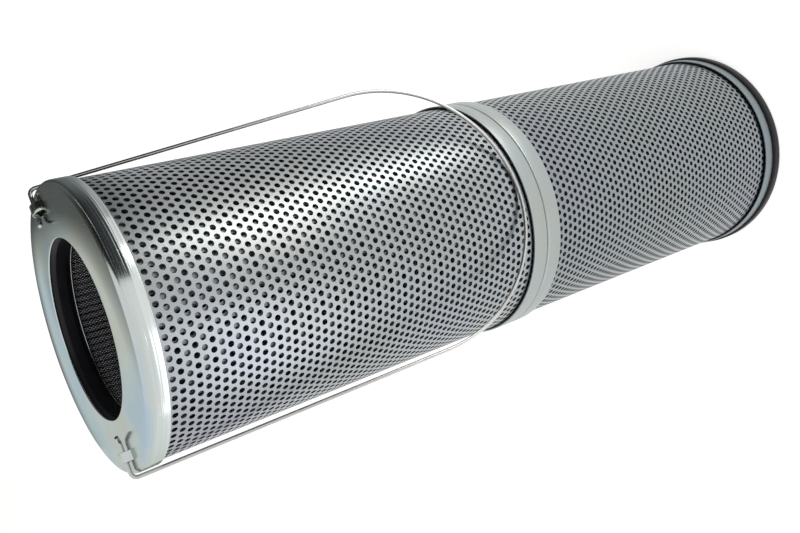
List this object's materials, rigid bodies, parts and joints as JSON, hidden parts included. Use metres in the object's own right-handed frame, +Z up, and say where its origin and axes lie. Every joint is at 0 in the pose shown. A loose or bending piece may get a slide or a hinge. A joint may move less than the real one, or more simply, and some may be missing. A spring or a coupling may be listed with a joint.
{
  "type": "hydraulic filter element",
  "caption": "Tall two-section filter element: perforated metal tubes over a pleated pack, steel end caps, rubber seals, and a swinging wire bail on top.",
  "frame": {"origin": "middle of the face of the rubber ring that the element stands on", "axes": "+Z up along the element's axis, towards the top cap with the bail; +X towards the side that the bail hangs on; Y along the bail's hinge line"},
  "size_m": [0.1458, 0.148, 0.4893],
  "materials": {
    "cap_zinc": "bright zinc-plated steel with a faint blue passivation",
    "joint_zinc": "pale satin zinc-plated steel",
    "jacket_zinc": "galvanised perforated sheet",
    "wire_steel": "bright drawn wire",
    "seal_rubber": "moulded black nitrile rubber",
    "pack_mesh": "woven steel mesh with a black epoxy coat",
    "medium": "glass fibre medium",
    "resin": "cast adhesive"
  },
  "bodies": {
    "element": {"top_end_cap": "cap_zinc", "top_bore_seal": "seal_rubber", "top_potting": "resin", "upper_outer_jacket": "jacket_zinc", "upper_support_tube": "jacket_zinc", "upper_inner_mesh": "pack_mesh", "upper_media": "medium", "upper_outer_mesh": "pack_mesh", "upper_joint_potting": "resin", "upper_joint_cap": "joint_zinc", "joint_sleeve": "joint_zinc", "lower_joint_cap": "joint_zinc", "lower_joint_potting": "resin", "lower_outer_jacket": "jacket_zinc", "lower_support_tube": "jacket_zinc", "lower_inner_mesh": "pack_mesh", "lower_media": "medium", "lower_outer_mesh": "pack_mesh", "bottom_potting": "resin", "bottom_end_cap": "joint_zinc", "bottom_seal_ring": "seal_rubber"},
    "bail": {"bail_handle": "wire_steel"}
  },
  "joints": [
    {"name": "bail_hinge", "type": "hinge", "parent": "element", "child": "bail", "pos_m": [0, 0, 0.4867], "axis": [0, -1, 0], "range_deg": [0, 162.6]}
  ]
}
